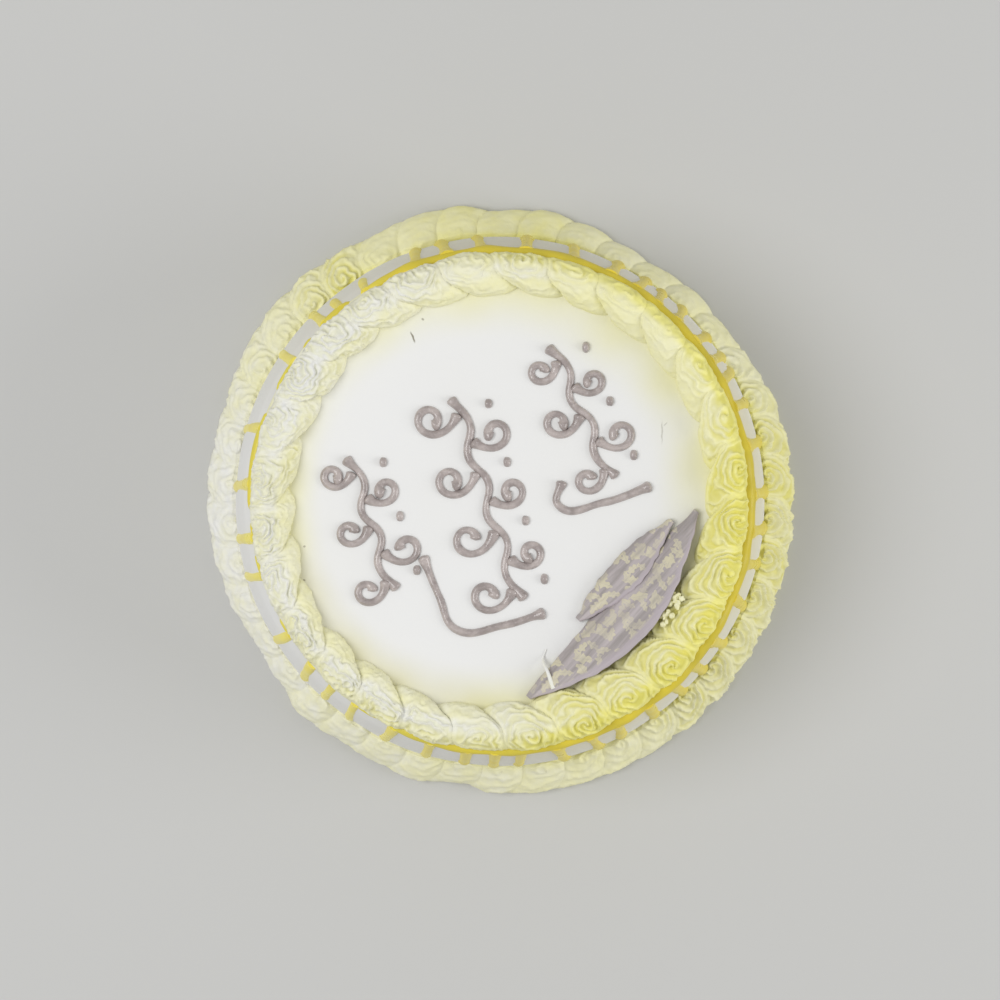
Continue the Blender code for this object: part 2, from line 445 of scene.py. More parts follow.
def bake(source, name):
    # the evaluated shape of source as a plain mesh object of its own
    graph = bpy.context.evaluated_depsgraph_get()
    mesh = bpy.data.meshes.new_from_object(source.evaluated_get(graph))
    mesh.name = name
    piece = bpy.data.objects.new(name, mesh)
    bpy.context.scene.collection.objects.link(piece)
    bpy.data.objects.remove(source)
    return piece


def pipe(name, lines, inputs, material):
    # lines: (cyclic, rows); a row is place, width, tint
    points, edges, columns = [], [], {"width": [], "tint": []}
    for cyclic, rows in lines:
        first = len(points)
        for place, width, tint in rows:
            points.append(place)
            columns["width"].append(width)
            columns["tint"].append(tint)
        edges += [(k, k + 1) for k in range(first, len(points) - 1)]
        if cyclic:
            edges.append((len(points) - 1, first))
    mesh = bpy.data.meshes.new(name + "Path")
    mesh.from_pydata(points, edges, [])
    for column, values in columns.items():
        mesh.attributes.new(column, "FLOAT", "POINT").data.foreach_set("value", values)
    source = bpy.data.objects.new(name + "Path", mesh)
    bpy.context.scene.collection.objects.link(source)
    modifier = source.modifiers.new("strand", "NODES")
    modifier.node_group = strands
    setInputs(modifier, {**inputs, "Material": material})
    return bake(source, name)


# piped borders: a mound in lobes round the ring, and a tree that ridges each lobe round its eye

def ridgeTree():
    tree = bpy.data.node_groups.new("pipedRidges", "GeometryNodeTree")
    sides = (
        ("Mound", "INPUT", "NodeSocketGeometry"), ("Spacing", "INPUT", "NodeSocketFloat"),
        ("Depth", "INPUT", "NodeSocketFloat"), ("Stretch", "INPUT", "NodeSocketFloat"),
        ("Waver", "INPUT", "NodeSocketFloat"), ("Lumps", "INPUT", "NodeSocketFloat"),
        ("Material", "INPUT", "NodeSocketMaterial"), ("Border", "OUTPUT", "NodeSocketGeometry"),
    )
    for name, way, kind in sides:
        tree.interface.new_socket(name=name, in_out=way, socket_type=kind)
    work = Tree(tree)
    given = work.add("NodeGroupInput")

    def entry(name):
        return Wire(work, given.outputs[name])

    def named(name):
        return work.wire("GeometryNodeInputNamedAttribute", {"data_type": "FLOAT"}, {"Name": name})

    def cloud(scale, detail):
        sockets = {"Vector": position, "Scale": scale, "Detail": detail}
        return work.wire("ShaderNodeTexNoise", None, sockets, "Fac") - 0.5

    position = work.wire("GeometryNodeInputPosition")
    along, out = named("eyeAlong") * entry("Stretch"), named("eyeOut")
    ruffle = named("ruffle")
    far = (along * along + out * out) ** 0.5
    around = out.run("ARCTAN2", along) / math.tau
    waver = cloud(190.0, 1.0) * (ruffle * 1.6 + 0.5) * entry("Waver")
    phase = (far + waver) / entry("Spacing") + around * named("arms")
    valley = abs((phase * math.pi).run("SINE")) ** 0.8
    shown = named("ridge") * named("seam").step(0.0, 0.22)
    lumps = cloud(150.0, 2.0) + cloud(520.0, 3.0) * (ruffle * 0.5 + 0.15)
    lift = (0.5 - valley) * shown * entry("Depth") + lumps * entry("Lumps") * (ruffle + 0.5)
    normal = work.wire("GeometryNodeInputNormal")
    push = work.wire("ShaderNodeVectorMath", {"operation": "SCALE"}, {0: normal, "Scale": lift})
    border = work.wire(
        "GeometryNodeStoreNamedAttribute", {"data_type": "FLOAT", "domain": "POINT"},
        {"Geometry": entry("Mound"), "Name": "groove", "Value": valley * shown.step(0.1, 0.8)},
    )
    border = work.wire("GeometryNodeSetPosition", None, {"Geometry": border, "Offset": push})
    border = work.wire("GeometryNodeSetShadeSmooth", None, {"Geometry": border})
    border = work.wire("GeometryNodeRealizeInstances", None, {"Geometry": border})
    border = work.wire("GeometryNodeSetMaterial", None, {"Geometry": border, "Material": entry("Material")})
    work.add("NodeGroupOutput", None, {"Border": border})
    return tree


ridges = ridgeTree()


def pipedBorder(name, spec, count, sectionAt, material):
    # sectionAt(turn, lobe, share, dome): radius, height and width at a share of the way from the
    # bulging side to the other; dome is 1 on a lobe's crown and 0 in the seam beside it
    rng = random.Random(spec["seed"])
    shift = [rng.uniform(-0.5, 0.5) for _ in range(count)]
    arms = [round(easedTable(spec["arms"], (lobe + 0.5) / count * math.tau)) for lobe in range(count)]
    kinds = ("tint", "ridge", "ruffle", "seam", "arms", "eyeAlong", "eyeOut")
    points, columns = [], {key: [] for key in kinds}
    stations, across = count * spec["steps"], spec["across"]
    for station in range(stations):
        turn = station / stations
        heading = turn * math.tau
        ruffle = easedTable(spec["ruffle"], heading)
        tint = easedTable(spec["tint"], heading)
        ridge = easedTable(spec["ridge"], heading)
        drag = 1 - easedTable(spec["drag"], heading)
        slopeShade = easedTable(spec["slopeShade"], heading)
        rimTint = easedTable(spec["rimTint"], heading)
        for row in range(across + 1):
            share = 0.5 - 0.5 * math.cos(math.pi * row / across)
            bend = spec["shear"] * (share - 0.5) + spec["hook"] * math.sin(math.pi * share * 1.5)
            bend += 0.12 * ringValue(shift, turn)
            place = turn * count - bend
            lobe = math.floor(place) % count
            swing = 2 * (place - math.floor(place)) - 1
            dome = max(0.0, 1 - abs(swing) ** spec["roundness"]) ** 0.6
            radius, z, width = sectionAt(turn, lobe, share, dome)
            wobble = noise.noise(Vector((turn * count * 2.3, share * 3, spec["seed"]))) * ruffle
            points.append(onCake(radius + 0.0009 * wobble, heading, z))
            # the tint on the inner slope is painted shade; the tint on the outer rim is yellow colour
            yellowAndShade = slopeShade * (1 - smoothStep(0.20, 0.45, share)) + rimTint * smoothStep(0.55, 0.95, share)
            columns["tint"].append(tint * (1 + 0.22 * shift[lobe]) + yellowAndShade)
            columns["arms"].append(arms[lobe])
            slope = 1 - easedTable(spec["smooth"], heading) * (1 - smoothStep(0.22, 0.5, share))
            rim = smoothStep(0.0, 0.07, share) * (1 - 0.7 * smoothStep(0.93, 1.0, share))
            columns["ridge"].append(ridge * (1 + 0.4 * shift[(lobe + 3) % count]) * slope * rim)
            columns["ruffle"].append(ruffle)
            columns["seam"].append(1 - abs(swing))
            columns["eyeAlong"].append(swing * math.pi * radius / count * drag)
            columns["eyeOut"].append((share - spec["eye"] - 0.08 * shift[(lobe + 5) % count]) * width)
    wide = across + 1
    faces = []
    for station in range(stations):
        here, there = station * wide, (station + 1) % stations * wide
        for row in range(wide):
            other = (row + 1) % wide
            faces.append((here + row, there + row, there + other, here + other))
    mesh = bpy.data.meshes.new(name + "Mound")
    mesh.from_pydata(points, [], faces)
    for column, values in columns.items():
        mesh.attributes.new(column, "FLOAT", "POINT").data.foreach_set("value", values)
    cage = bmesh.new()
    cage.from_mesh(mesh)
    bmesh.ops.recalc_face_normals(cage, faces=cage.faces)
    cage.to_mesh(mesh)
    cage.free()
    source = bpy.data.objects.new(name + "Mound", mesh)
    bpy.context.scene.collection.objects.link(source)
    modifier = source.modifiers.new("ridges", "NODES")
    modifier.node_group = ridges
    setInputs(modifier, {
        "Spacing": spec["spacing"], "Depth": spec["depth"], "Stretch": spec["stretch"],
        "Waver": spec["waver"], "Lumps": spec["lumps"], "Material": material,
    })
    piece = bake(source, name)
    print(name, "triangles", 2 * len(piece.data.polygons))
    return piece


# top border

topBorder = {
    "steps": 56,             # stations round one swirl
    "across": 58,            # and over it
    "roundness": 2.4,
    "shear": 0.70,           # how far a swirl's arm sweeps on to the next, in swirls
    "hook": 0.14,
    "scallop": 0.20,         # how far the seams cut in to the bulging side, as a share of the width
    "backScallop": 0.06,
    "proud": 0.0008,
    "height": 0.0098,
    "seamDrop": 0.30,
    "eye": 0.80,             # share of the way from the bulging side to the other
    "spacing": 0.0027,       # from ridge to ridge
    "depth": 0.0017,
    "stretch": 1.0,
    "waver": 0.0047,
    "lumps": 0.0011,
    "seed": 11,
    "ridge": ((0, 1.0), (25, 0.65), (45, 0.45), (90, 0.6), (120, 0.85), (200, 0.95), (215, 1.3), (240, 1.3),
              (262, 0.8), (280, 1.05), (340, 1.15)),
    "tint": ((0, 0.78), (30, 0.50), (60, 0.50), (90, 0.34), (120, 0.18), (150, 0.16), (180, 0.22),
             (210, 0.18), (250, 0.18), (270, 0.30), (285, 0.55), (300, 0.66), (330, 0.70)),
    # tint on the inner slope by heading: painted shade
    "slopeShade": ((0, 0.0), (45, 0.0), (80, 0.15), (150, 0.18), (180, 0.2), (205, 0.24), (255, 0.20), (275, 0.05)),
    "rimTint": ((0, 0.40), (45, 0.60), (75, 0.40), (110, 0.10), (180, 0.05), (250, 0.30), (285, 0.45), (325, 0.55)),
    "ruffle": ((0, 0.35), (60, 0.4), (130, 0.8), (160, 0.9), (205, 1.0), (240, 1.0), (270, 0.45), (310, 0.35)),
    "smooth": ((0, 0.0), (35, 0.3), (100, 0.2), (150, 0.1), (200, 0.75), (250, 0.7), (270, 0.2), (300, 0.0)),
    "drag": ((0, 0.0), (35, 0.45), (75, 0.5), (100, 0.1), (195, 0.1), (208, 0.75), (252, 0.7), (272, 0.1)),
    "arms": ((0, 2), (30, 1), (120, 1), (135, 4), (150, 7), (168, 5), (190, 4), (204, 1), (272, 1), (285, 2)),
}


def topSwirls(material):
    spec = topBorder
    count = len(swirlNodes)
    inner = reachTable(swirlNodes, count, min)
    outer = reachTable(swirlNodes, count, max)

    def section(turn, lobe, share, dome):
        low, high = ringValue(inner, turn), ringValue(outer, turn)
        width = high - low
        low += width * spec["scallop"] * (1 - dome) - spec["proud"]
        high -= width * spec["backScallop"] * (1 - dome)
        crown = (share / 0.56) ** 0.55 * ((1 - share) / 0.44) ** 0.43 if 0 < share < 1 else 0.0
        z = cakeTop - 0.0002 + spec["height"] * crown * (1 - spec["seamDrop"] * (1 - dome))
        return low + (high - low) * share, z, width

    piece = pipedBorder("topSwirls", spec, count, section, material)
    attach(piece, "root")
    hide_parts(*swirlNodes)
    return piece


# foot border

footBorder = {
    "rosettes": 42,
    "steps": 40,
    "across": 50,
    "roundness": 2.2,
    "shear": 0.55,
    "hook": 0.10,
    "scallop": ((0, 0.11), (60, 0.10), (86, 0.08), (98, 0.03), (116, 0.05), (140, 0.11), (200, 0.10), (225, 0.05),
                (262, 0.04), (290, 0.03), (312, 0.10)),
    "height": 0.0182,        # of the crown beside the wall
    "seamDrop": 0.16,
    "sunk": 0.0025,          # how far the border reaches into the wall
    "eye": 0.68,
    "spacing": 0.0029,
    "depth": 0.0020,
    "stretch": 1.05,
    "waver": 0.0040,
    "lumps": 0.0013,
    "seed": 23,
    "ridge": ((0, 1.0), (30, 0.65), (45, 0.22), (90, 0.12), (114, 0.2), (126, 0.75), (150, 0.5), (180, 0.45), (200, 0.35),
              (260, 0.3), (300, 0.5), (315, 1.1)),
    "tint": ((0, 0.62), (30, 0.48), (60, 0.50), (90, 0.68), (120, 0.60), (150, 0.34), (180, 0.17),
             (210, 0.22), (240, 0.34), (270, 0.44), (300, 0.46), (330, 0.58)),
    # tint on the inner slope: painted shade, none on the foot
    "slopeShade": ((0, 0.0), (180, 0.0)),
    "rimTint": ((0, 0.40), (60, 0.40), (120, 0.20), (180, 0.06), (240, 0.10), (300, 0.25)),
    "ruffle": ((0, 0.35), (90, 0.3), (160, 0.5), (200, 0.5), (270, 0.4)),
    "smooth": ((0, 0.0), (40, 0.4), (100, 0.6), (130, 0.0), (200, 0.1), (270, 0.3), (300, 0.1)),
    "drag": ((0, 0.0), (60, 0.4), (110, 0.5), (125, 0.0), (200, 0.1), (240, 0.5), (290, 0.5), (305, 0.0)),
    "arms": ((0, 2), (40, 1), (300, 1), (312, 2)),
}


def footRosettes(material):
    spec = footBorder
    outer = reachTable(["foot_border"], spec["rosettes"], max)

    def section(turn, lobe, share, dome):
        crown = min(1.0, share / 0.74) ** 0.62 * (1 - 0.10 * max(0.0, share - 0.74) / 0.26)
        z = spec["height"] * crown * (1 - spec["seamDrop"] * (1 - dome))
        far = ringValue(outer, turn) + 0.0008
        near = wallRadius(spec["height"]) - spec["sunk"]
        width = far - near
        far -= width * easedTable(spec["scallop"], turn * math.tau) * (1 - dome)
        if share > 0.999:
            z = 0.0
        bulge = 0.0012 * math.exp(-((share / 0.05) ** 2))
        return far - bulge + (near - far) * share, z, width

    piece = pipedBorder("footRosettes", spec, spec["rosettes"], section, material)
    for vertex in piece.data.vertices:
        vertex.co.z = max(vertex.co.z, 0.0)
    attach(piece, "root")
    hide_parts("foot_border")
    return piece


# cream coat

coat = {
    "columns": 320,
    "topRings": 60,
    "wallRings": 40,
    "edge": 0.0025,
    "blush": ((0, 0.66), (18, 0.85), (30, 0.66), (44, 0.5), (55, 0.6), (66, 0.5), (80, 0.6), (90, 0.55),
              (120, 0.62), (150, 0.40), (180, 0.60), (210, 0.80), (240, 0.95), (270, 0.90), (300, 0.70), (330, 0.60)),
    "blushFrom": ((0, 0.058), (30, 0.060), (60, 0.058), (90, 0.062), (150, 0.068), (210, 0.068), (270, 0.062)),
    # beige by heading: partly the cream's colour, partly painted shade beside the border
    "beige": ((0, 0.0), (185, 0.1), (205, 0.9), (250, 0.8), (280, 0.2)),
    "wall": ((0, 0.62), (60, 0.40), (90, 0.44), (130, 0.24), (170, 0.04), (220, 0.02), (250, 0.08), (300, 0.50)),
}


def creamCoat(material):
    spec = coat
    topRadius = wallRadius(cakeTop - spec["edge"])
    profile = [(topRadius * (k / spec["topRings"]) ** 0.8, cakeTop) for k in range(1, spec["topRings"] + 1)]
    profile = [(r, z) for r, z in profile if r < topRadius - spec["edge"]]
    for k in range(7):
        turn = math.radians(90 - 15 * k)
        profile.append((topRadius - spec["edge"] * (1 - math.cos(turn)), cakeTop - spec["edge"] * (1 - math.sin(turn))))
    for k in range(1, spec["wallRings"] + 1):
        z = (cakeTop - spec["edge"]) * (1 - k / spec["wallRings"])
        profile.append((wallRadius(z), z))
    points, faces = [onCake(0.0, 0.0, cakeTop)], []
    blush, beige, wallTint = [0.0], [0.0], [0.0]
    columns = spec["columns"]
    for radius, z in profile:
        for column in range(columns):
            heading = math.tau * column / columns
            rough = noise.noise(Vector((radius * math.cos(heading), radius * math.sin(heading), z)) * 45.0)
            spread = noise.noise(Vector((heading * 3.0, z * 120.0, radius * 60.0)))
            low = 1.0 if z > 0.001 else 0.0
            onTop = z > cakeTop - spec["edge"]
            out = radius + (0.0 if onTop else 0.00035 * rough + 0.0002 * spread) * low
            points.append(onCake(out, heading, z + (0.00022 * rough if onTop else 0.0)))
            start = easedTable(spec["blushFrom"], heading)
            patch = 0.75 + 0.6 * noise.noise(Vector((math.cos(heading) * 4.0, math.sin(heading) * 4.0, radius * 30)))
            blush.append(easedTable(spec["blush"], heading) * patch * smoothStep(start, 0.084, radius) if onTop else 0.0)
            beige.append(easedTable(spec["beige"], heading))
            wallTint.append(0.0 if onTop else easedTable(spec["wall"], heading) * smoothStep(0.0, 0.060, z))
    for column in range(columns):
        faces.append((0, 1 + column, 1 + (column + 1) % columns))
    for ring in range(len(profile) - 1):
        first, second = 1 + ring * columns, 1 + (ring + 1) * columns
        for column in range(columns):
            after = (column + 1) % columns
            faces.append((first + column, second + column, second + after, first + after))
    last = 1 + (len(profile) - 1) * columns
    points.append(onCake(0.0, 0.0, 0.0))
    blush.append(0.0)
    beige.append(0.0)
    wallTint.append(0.0)
    bottom = len(points) - 1
    faces += [(last + (column + 1) % columns, last + column, bottom) for column in range(columns)]
    mesh = bpy.data.meshes.new("creamCoat")
    mesh.from_pydata(points, [], faces)
    for column, values in (("blush", blush), ("beige", beige), ("wallTint", wallTint)):
        mesh.attributes.new(column, "FLOAT", "POINT").data.foreach_set("value", values)
    mesh.materials.append(material)
    mesh.shade_smooth()
    piece = bpy.data.objects.new("creamCoat", mesh)
    bpy.context.scene.collection.objects.link(piece)
    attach(piece, "root")
    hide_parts("cake_body")
    return piece


# yellow gel: a line under the top border and drips down the wall

yellowGel = {
    "lineDrop": 0.0022,      # below the top of the cake
    "lineWide": 0.0036,      # radius of the line where it is thick
    "lineThin": 0.0009,
    "fullness": ((0, 0.95), (60, 0.95), (90, 0.85), (112, 0.75), (122, 0.30), (131, 0.45), (141, 0.10), (158, 0.10),
                 (168, 0.45), (178, 0.30), (190, 0.12), (200, 0.0), (240, 0.0), (250, 0.45), (262, 0.6),
                 (290, 0.8), (330, 0.95)),
    "dripRadius": 0.0024,
    "proud": 0.42,           # share of a drip's radius that stands out of the wall
    "lowest": 0.019,
    "seed": 5,
    "drips": ((1.5, 1), (12.5, 1), (22, 0.9), (28.4, 1), (33.7, 1), (39.5, 0.9), (45.5, 1), (51.5, 0.9), (57.3, 1),
              (64, 1), (73, 1), (84, 0.9), (94, 0.9), (102, 1), (109.5, 1), (122.5, 0.5), (129.5, 0.5), (134.5, 1),
              (146, 0.8), (163, 1), (176, 1), (188.5, 0.9), (197.5, 1), (212.5, 0.9), (221, 0.9), (228, 0.8),
              (234.5, 1), (245, 0.9), (254, 1), (262.5, 0.8), (269, 0.9), (275, 0.8), (283, 1), (291, 1),
              (298, 0.9), (306, 0.9), (313, 1), (319.5, 1), (326.5, 1), (337.5, 1), (345.5, 1), (353, 1)),
}


def roundEnd(distance, radius, swell):
    # radius of a line at a distance from its end: rounded off, with a blob where it was stopped
    cap = math.sqrt(max(0.0, 1 - (1 - min(1.0, distance / radius)) ** 2))
    return radius * (0.08 + 0.92 * cap) * (1 + swell * math.exp(-((distance / (2.2 * radius)) ** 2)))


def gelOnWall(material):
    spec = yellowGel
    rng = random.Random(spec["seed"])
    ring = []
    for step in range(360):
        heading = math.tau * step / 360
        full = easedTable(spec["fullness"], heading)
        wobble = noise.noise(Vector((math.cos(heading) * 9, math.sin(heading) * 9, 2.0)))
        radius = spec["lineThin"] + (spec["lineWide"] - spec["lineThin"]) * full * (1 + 0.6 * wobble)
        z = cakeTop - spec["lineDrop"] + 0.0008 * wobble
        hidden = 0.0022 * smoothStep(0.1, 0.4, 0.35 - full - 0.7 * wobble)
        # the line's tint gives it darker colours: painted shadow of the border over it
        ring.append((onCake(wallRadius(z) - 0.30 * radius - hidden, heading, z), radius, 0.6 + 0.4 * full))
    lines = [(True, ring)]
    for degrees, reach in spec["drips"]:
        heading = math.radians(degrees)
        full = easedTable(spec["fullness"], heading)
        radius = spec["dripRadius"] * (0.98 + 0.07 * full + rng.uniform(-0.08, 0.08))
        slant = math.radians(rng.uniform(-1.2, 1.2))
        start = cakeTop - spec["lineDrop"] + 0.0004
        end = start - (start - spec["lowest"]) * reach * rng.uniform(0.95, 1.0)
        rows = []
        for step in range(25):
            share = step / 24
            z = start + (end - start) * share
            size = roundEnd(z - end, radius, 0.0) * (1 + 0.05 * math.sin(share * 7 + degrees))
            size *= 1 + full * (0.7 * (1 - smoothStep(0.0, 0.35, share)) + 0.35 * smoothStep(0.7, 1.0, share))
            place = onCake(wallRadius(z) - radius * (1 - spec["proud"]), heading + slant * share, z)
            rows.append((place, size, 0.45 * full))
        lines.append((False, rows))
    piece = pipe(
        "yellowGel", lines,
        {"Points Around": 18, "Squash": 1.0, "Lumps": 0.12, "Lump Scale": 90.0}, material,
    )
    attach(piece, "root")
    return piece


# brown gel: piped vines with curls, dots and two long swashes

vines = {
    "radius": 0.00145,
    "swell": 0.65,
    "dotGap": 0.0125,        # from a stem to the dot beside it
    "rise": 0.0001,          # height of the line's middle over the cake
    "stations": 0.0004,      # distance between stations
    "seed": 4,
    # start and end from the middle of the top, curls along it, and their length
    "rows": (
        ((0.0201, 0.0606), (0.0432, 0.0085), 5, 0.031),
        ((-0.0174, 0.0405), (0.0077, -0.0386), 7, 0.036),
        ((-0.0579, 0.0174), (-0.0417, -0.0347), 5, 0.028),
    ),
    "swashes": (
        ((0.0240, 0.0080), (0.0225, -0.0015), (0.0400, -0.0005), (0.0585, 0.0060)),
        ((-0.0300, -0.0210), (-0.0235, -0.0370), (-0.0170, -0.0495), (0.0010, -0.0480), (0.0175, -0.0430)),
    ),
}


def splinePath(corners, spacing):
    # a smooth line through the corners, as evenly spaced places
    curve = bpy.data.curves.new("guide", "CURVE")
    curve.dimensions = "3D"
    curve.resolution_u = 24
    spline = curve.splines.new("BEZIER")
    spline.bezier_points.add(len(corners) - 1)
    for point, corner in zip(spline.bezier_points, corners):
        point.co = Vector((*corner, 0.0))
        point.handle_left_type = point.handle_right_type = "AUTO"
    guide = bpy.data.objects.new("guide", curve)
    mesh = guide.to_mesh()
    places = [vertex.co.copy() for vertex in mesh.vertices]
    guide.to_mesh_clear()
    bpy.data.objects.remove(guide)
    even, left = [places[0]], spacing
    for start, end in zip(places, places[1:]):
        gap = (end - start).length
        while left <= gap:
            even.append(start.lerp(end, left / gap))
            left += spacing
        left -= gap
    return even + [places[-1]]


def curlPath(start, direction, length, side, turns, spacing):
    # a tendril that tightens as it goes
    places, heading, place = [start], direction, start.copy()
    count = int(length / spacing)
    for step in range(count):
        share = step / count
        heading += side * math.tau * turns / count * (0.2 + 1.6 * share)
        place = place + Vector((math.cos(heading), math.sin(heading), 0.0)) * spacing
        places.append(place)
    return places


def penRows(places, radius, swell, rise):
    rows = []
    lengths = [0.0]
    for start, end in zip(places, places[1:]):
        lengths.append(lengths[-1] + (end - start).length)
    for place, run in zip(places, lengths):
        shake = noise.noise(place * 130.0)
        size = roundEnd(min(run, lengths[-1] - run), radius * (1 + 0.18 * shake), swell)
        at = Vector((place.x + cakeCentre.x, place.y + cakeCentre.y, cakeTop + rise))
        rows.append((at, size, 0.0))
    return rows


def brownVines(material):
    spec = vines
    rng = random.Random(spec["seed"])
    paths = []
    dots = []
    for start, end, curls, length in spec["rows"]:
        start, end = Vector((*start, 0.0)), Vector((*end, 0.0))
        along = (end - start).normalized()
        across = Vector((-along.y, along.x, 0.0))
        stem = []
        for k in range(curls + 1):
            bend = 0.0022 * (1 if k % 2 else -1)
            stem.append(start.lerp(end, k / curls) + across * bend)
        paths.append(splinePath([(p.x, p.y) for p in stem], spec["stations"]))
        for k in range(curls):
            side = 1 if k % 2 else -1
            root = start.lerp(end, (k + 0.55) / curls) + across * 0.001 * side
            lean = math.radians(rng.uniform(18, 40)) * side
            heading = math.atan2(along.y, along.x) + lean
            size = length * rng.uniform(0.82, 1.12)
            paths.append(curlPath(root, heading, size, side, rng.uniform(0.95, 1.2), spec["stations"]))
            if k % 2 == 0:
                dots.append(root - across * spec["dotGap"] * side)
    for corners in spec["swashes"]:
        paths.append(splinePath(corners, spec["stations"]))
    lines = [(False, penRows(path, spec["radius"], spec["swell"], spec["rise"])) for path in paths]
    for dot in dots:
        fine = [dot + Vector((0.0030 * (k / 16 - 0.5), 0.0, 0.0)) for k in range(17)]
        lines.append((False, penRows(fine, 0.0014, 0.5, spec["rise"])))
    piece = pipe(
        "brownVines", lines,
        {"Points Around": 14, "Squash": 0.95, "Lumps": 0.12, "Lump Scale": 320.0}, material,
    )
    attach(piece, "root")
    return piece


# chocolate shards

shards = {
    "rows": 90,
    "columns": 30,
    "thickness": 0.0019,
    "large": {"node": "chocolate_shard_large", "rise": 0.0080, "arch": 0.0024, "ragged": 0.0010, "wider": 0.0022,
              "low": 0.0, "lip": 0.0016, "bandFrom": 0.80},
    "slim": {"node": "chocolate_shard_slim", "rise": 0.0036, "arch": 0.0012, "ragged": 0.0008, "wider": 0.0038,
             "low": 0.0006, "lip": 0.0, "bandFrom": 0.82},
}


def shardOutline(node):
    # tips of the shard and its two edges along it, read from the frame
    places = [vertex.co.copy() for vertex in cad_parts[node].data.vertices]
    flat = [Vector((place.x, place.y, 0.0)) for place in places]
    start = max(flat, key=lambda place: (place - flat[0]).length)
    end = max(flat, key=lambda place: (place - start).length)
    if start.y > end.y:
        start, end = end, start
    along = (end - start).normalized()
    inward = Vector((-along.y, along.x, 0.0))
    length = (end - start).length
    stations = []
    for k in range(9):
        near = [(p - start).dot(inward) for p in flat if abs((p - start).dot(along) / length - k / 8) < 0.02]
        stations.append((max(near), min(near)))
    return start, along, inward, length, stations


def rowValue(values, share):
    place = share * (len(values) - 1)
    low = min(int(place), len(values) - 2)
    return values[low] * (1 - place + low) + values[low + 1] * (place - low)


def chocolateShard(name, kind, material):
    spec = shards[kind]
    start, along, inward, length, stations = shardOutline(spec["node"])
    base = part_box(spec["node"])[0].z
    rows, columns = shards["rows"], shards["columns"]
    points, local, bands = [], [], []
    for layer in (0, 1):
        for row in range(rows + 1):
            share = row / rows
            belly = max(math.sin(math.pi * share) ** 0.8, 0.05)
            inner = rowValue([pair[0] for pair in stations], share)
            outer = rowValue([pair[1] for pair in stations], share)
            inner += spec["ragged"] * noise.noise(Vector((share * 14, 1.0, length * 50)))
            outer += spec["ragged"] * 0.7 * noise.noise(Vector((share * 22, 5.0, length * 50)))
            outer -= spec["wider"] * belly * (1.0 if share < 0.6 else 1 - 0.6 * smoothStep(0.6, 0.9, share))
            for column in range(columns + 1):
                across = column / columns
                lift = belly * (spec["rise"] * across + spec["arch"] * math.sin(math.pi * across))
                lift += spec["low"] * across * belly + spec["lip"] * smoothStep(0.8, 1.0, across) * belly
                buckle = noise.noise(Vector((share * 4, across * 3.4, length * 31)))
                fold = noise.noise(Vector((share * 2, across * 11, length * 17)))
                lift += (0.0009 * buckle + 0.0004 * fold) * belly + layer * shards["thickness"] * (1 - 0.35 * abs(2 * across - 1) ** 6)
                side = inner + (outer - inner) * across
                place = start + along * (length * share) + inward * side
                points.append(Vector((place.x, place.y, base + max(lift, 0.0))))
                local.append((length * share, side, lift))
                bands.append(smoothStep(spec["bandFrom"], spec["bandFrom"] + 0.06, across))
    faces = []
    wide = columns + 1
    layerSize = (rows + 1) * wide
    for row in range(rows):
        for column in range(columns):
            corner = row * wide + column
            below = (corner, corner + 1, corner + wide + 1, corner + wide)
            faces.append(below)
            faces.append(tuple(index + layerSize for index in reversed(below)))
    rim = [row * wide for row in range(rows + 1)]
    rim += [rows * wide + column for column in range(1, wide)]
    rim += [row * wide + columns for row in range(rows - 1, -1, -1)]
    rim += [column for column in range(columns - 1, 0, -1)]
    for near, far in zip(rim, rim[1:] + rim[:1]):
        faces.append((near, far, far + layerSize, near + layerSize))
    mesh = bpy.data.meshes.new(name)
    mesh.from_pydata(points, [], faces)
    mesh.attributes.new("leafPlace", "FLOAT_VECTOR", "POINT").data.foreach_set(
        "vector", [value for place in local for value in place],
    )
    mesh.attributes.new("band", "FLOAT", "POINT").data.foreach_set("value", bands)
    cage = bmesh.new()
    cage.from_mesh(mesh)
    bmesh.ops.recalc_face_normals(cage, faces=cage.faces)
    cage.to_mesh(mesh)
    cage.free()
    mesh.materials.append(material)
    mesh.shade_smooth()
    mesh.set_sharp_from_angle(angle=math.radians(50))
    piece = bpy.data.objects.new(name, mesh)
    bpy.context.scene.collection.objects.link(piece)
    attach(piece, "root")
    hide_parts(spec["node"])
    return piece


# crumbs of cream fallen from the border

crumbs = {
    "spot": (0.0752, -32.5),  # radius and heading in degrees of the little heap
    "spread": 0.0042,
    "height": 0.0105,
    "count": 34,
    "size": 0.0014,
    "seed": 9,
}


